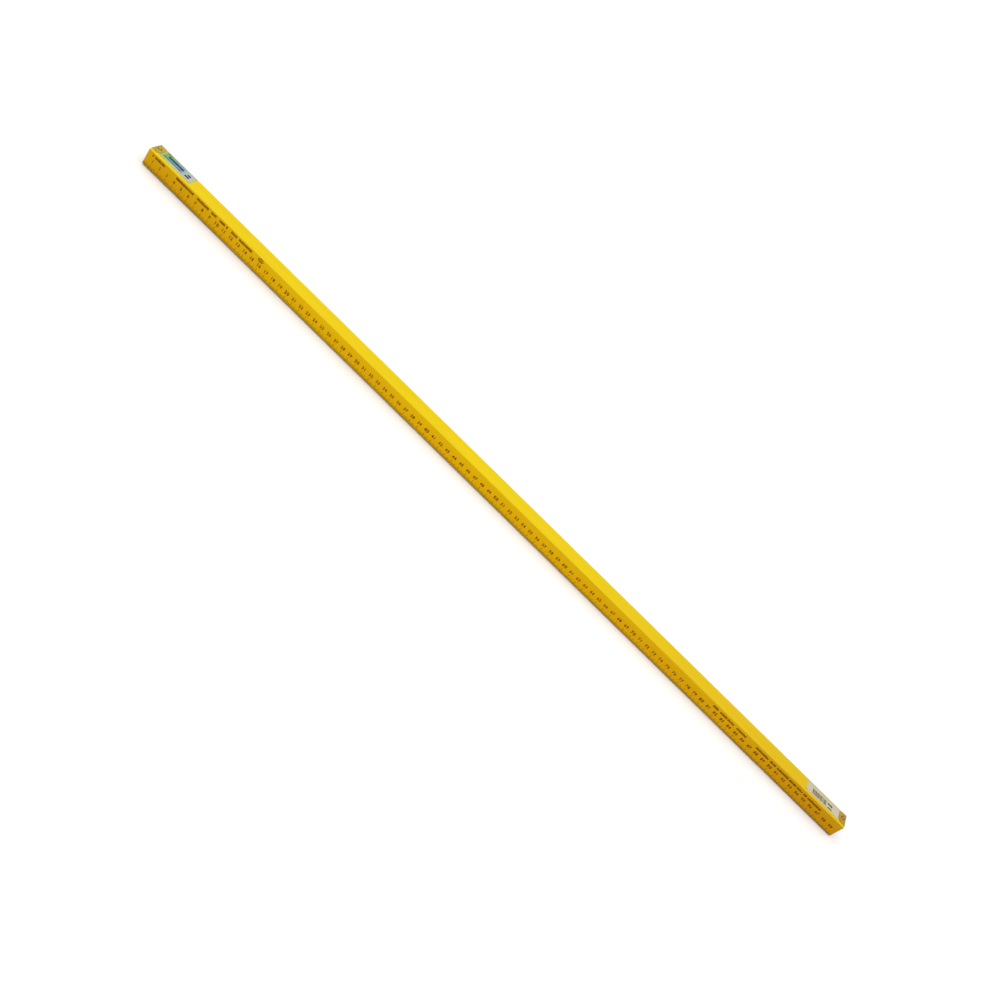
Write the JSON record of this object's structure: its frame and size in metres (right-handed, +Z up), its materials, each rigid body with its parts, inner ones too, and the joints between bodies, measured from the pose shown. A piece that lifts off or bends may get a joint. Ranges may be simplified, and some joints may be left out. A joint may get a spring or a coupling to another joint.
{
  "type": "measuring rod",
  "caption": "Rigid one-metre wooden measuring rod of square section, lacquered yellow, with a printed centimetre scale and a nailed brass cap over each end.",
  "frame": {"origin": "bottom centre of the bounding box: the middle of the rod's length and width, on the plane that the heads of the two lower brads rest on", "axes": "+X along the scale from the zero end to the hundred end, +Y from the printed face to the back face, +Z up, out of the face with the labels"},
  "size_m": [1, 0.02, 0.0218],
  "materials": {
    "lacquered_wood": "yellow lacquer with a low sheen over fine grain, with a dark printed scale on the front face",
    "sheet_brass": "satin, a little tarnished",
    "brad_brass": "satin, domed and rubbed bright on top",
    "printed_label": "glossy coated paper, green to pale blue",
    "plain_label": "matt off-white paper",
    "print_ink": "matt dark printing ink, as a thin film on the wood and the labels"
  },
  "bodies": {
    "root": {"wood_rod": "lacquered_wood", "zero_end_cap": "sheet_brass", "hundred_end_cap": "sheet_brass", "zero_top_brad": "brad_brass", "zero_bottom_brad": "brad_brass", "hundred_top_brad": "brad_brass", "hundred_bottom_brad": "brad_brass", "colour_label": "printed_label", "stock_label": "plain_label"}
  },
  "joints": []
}
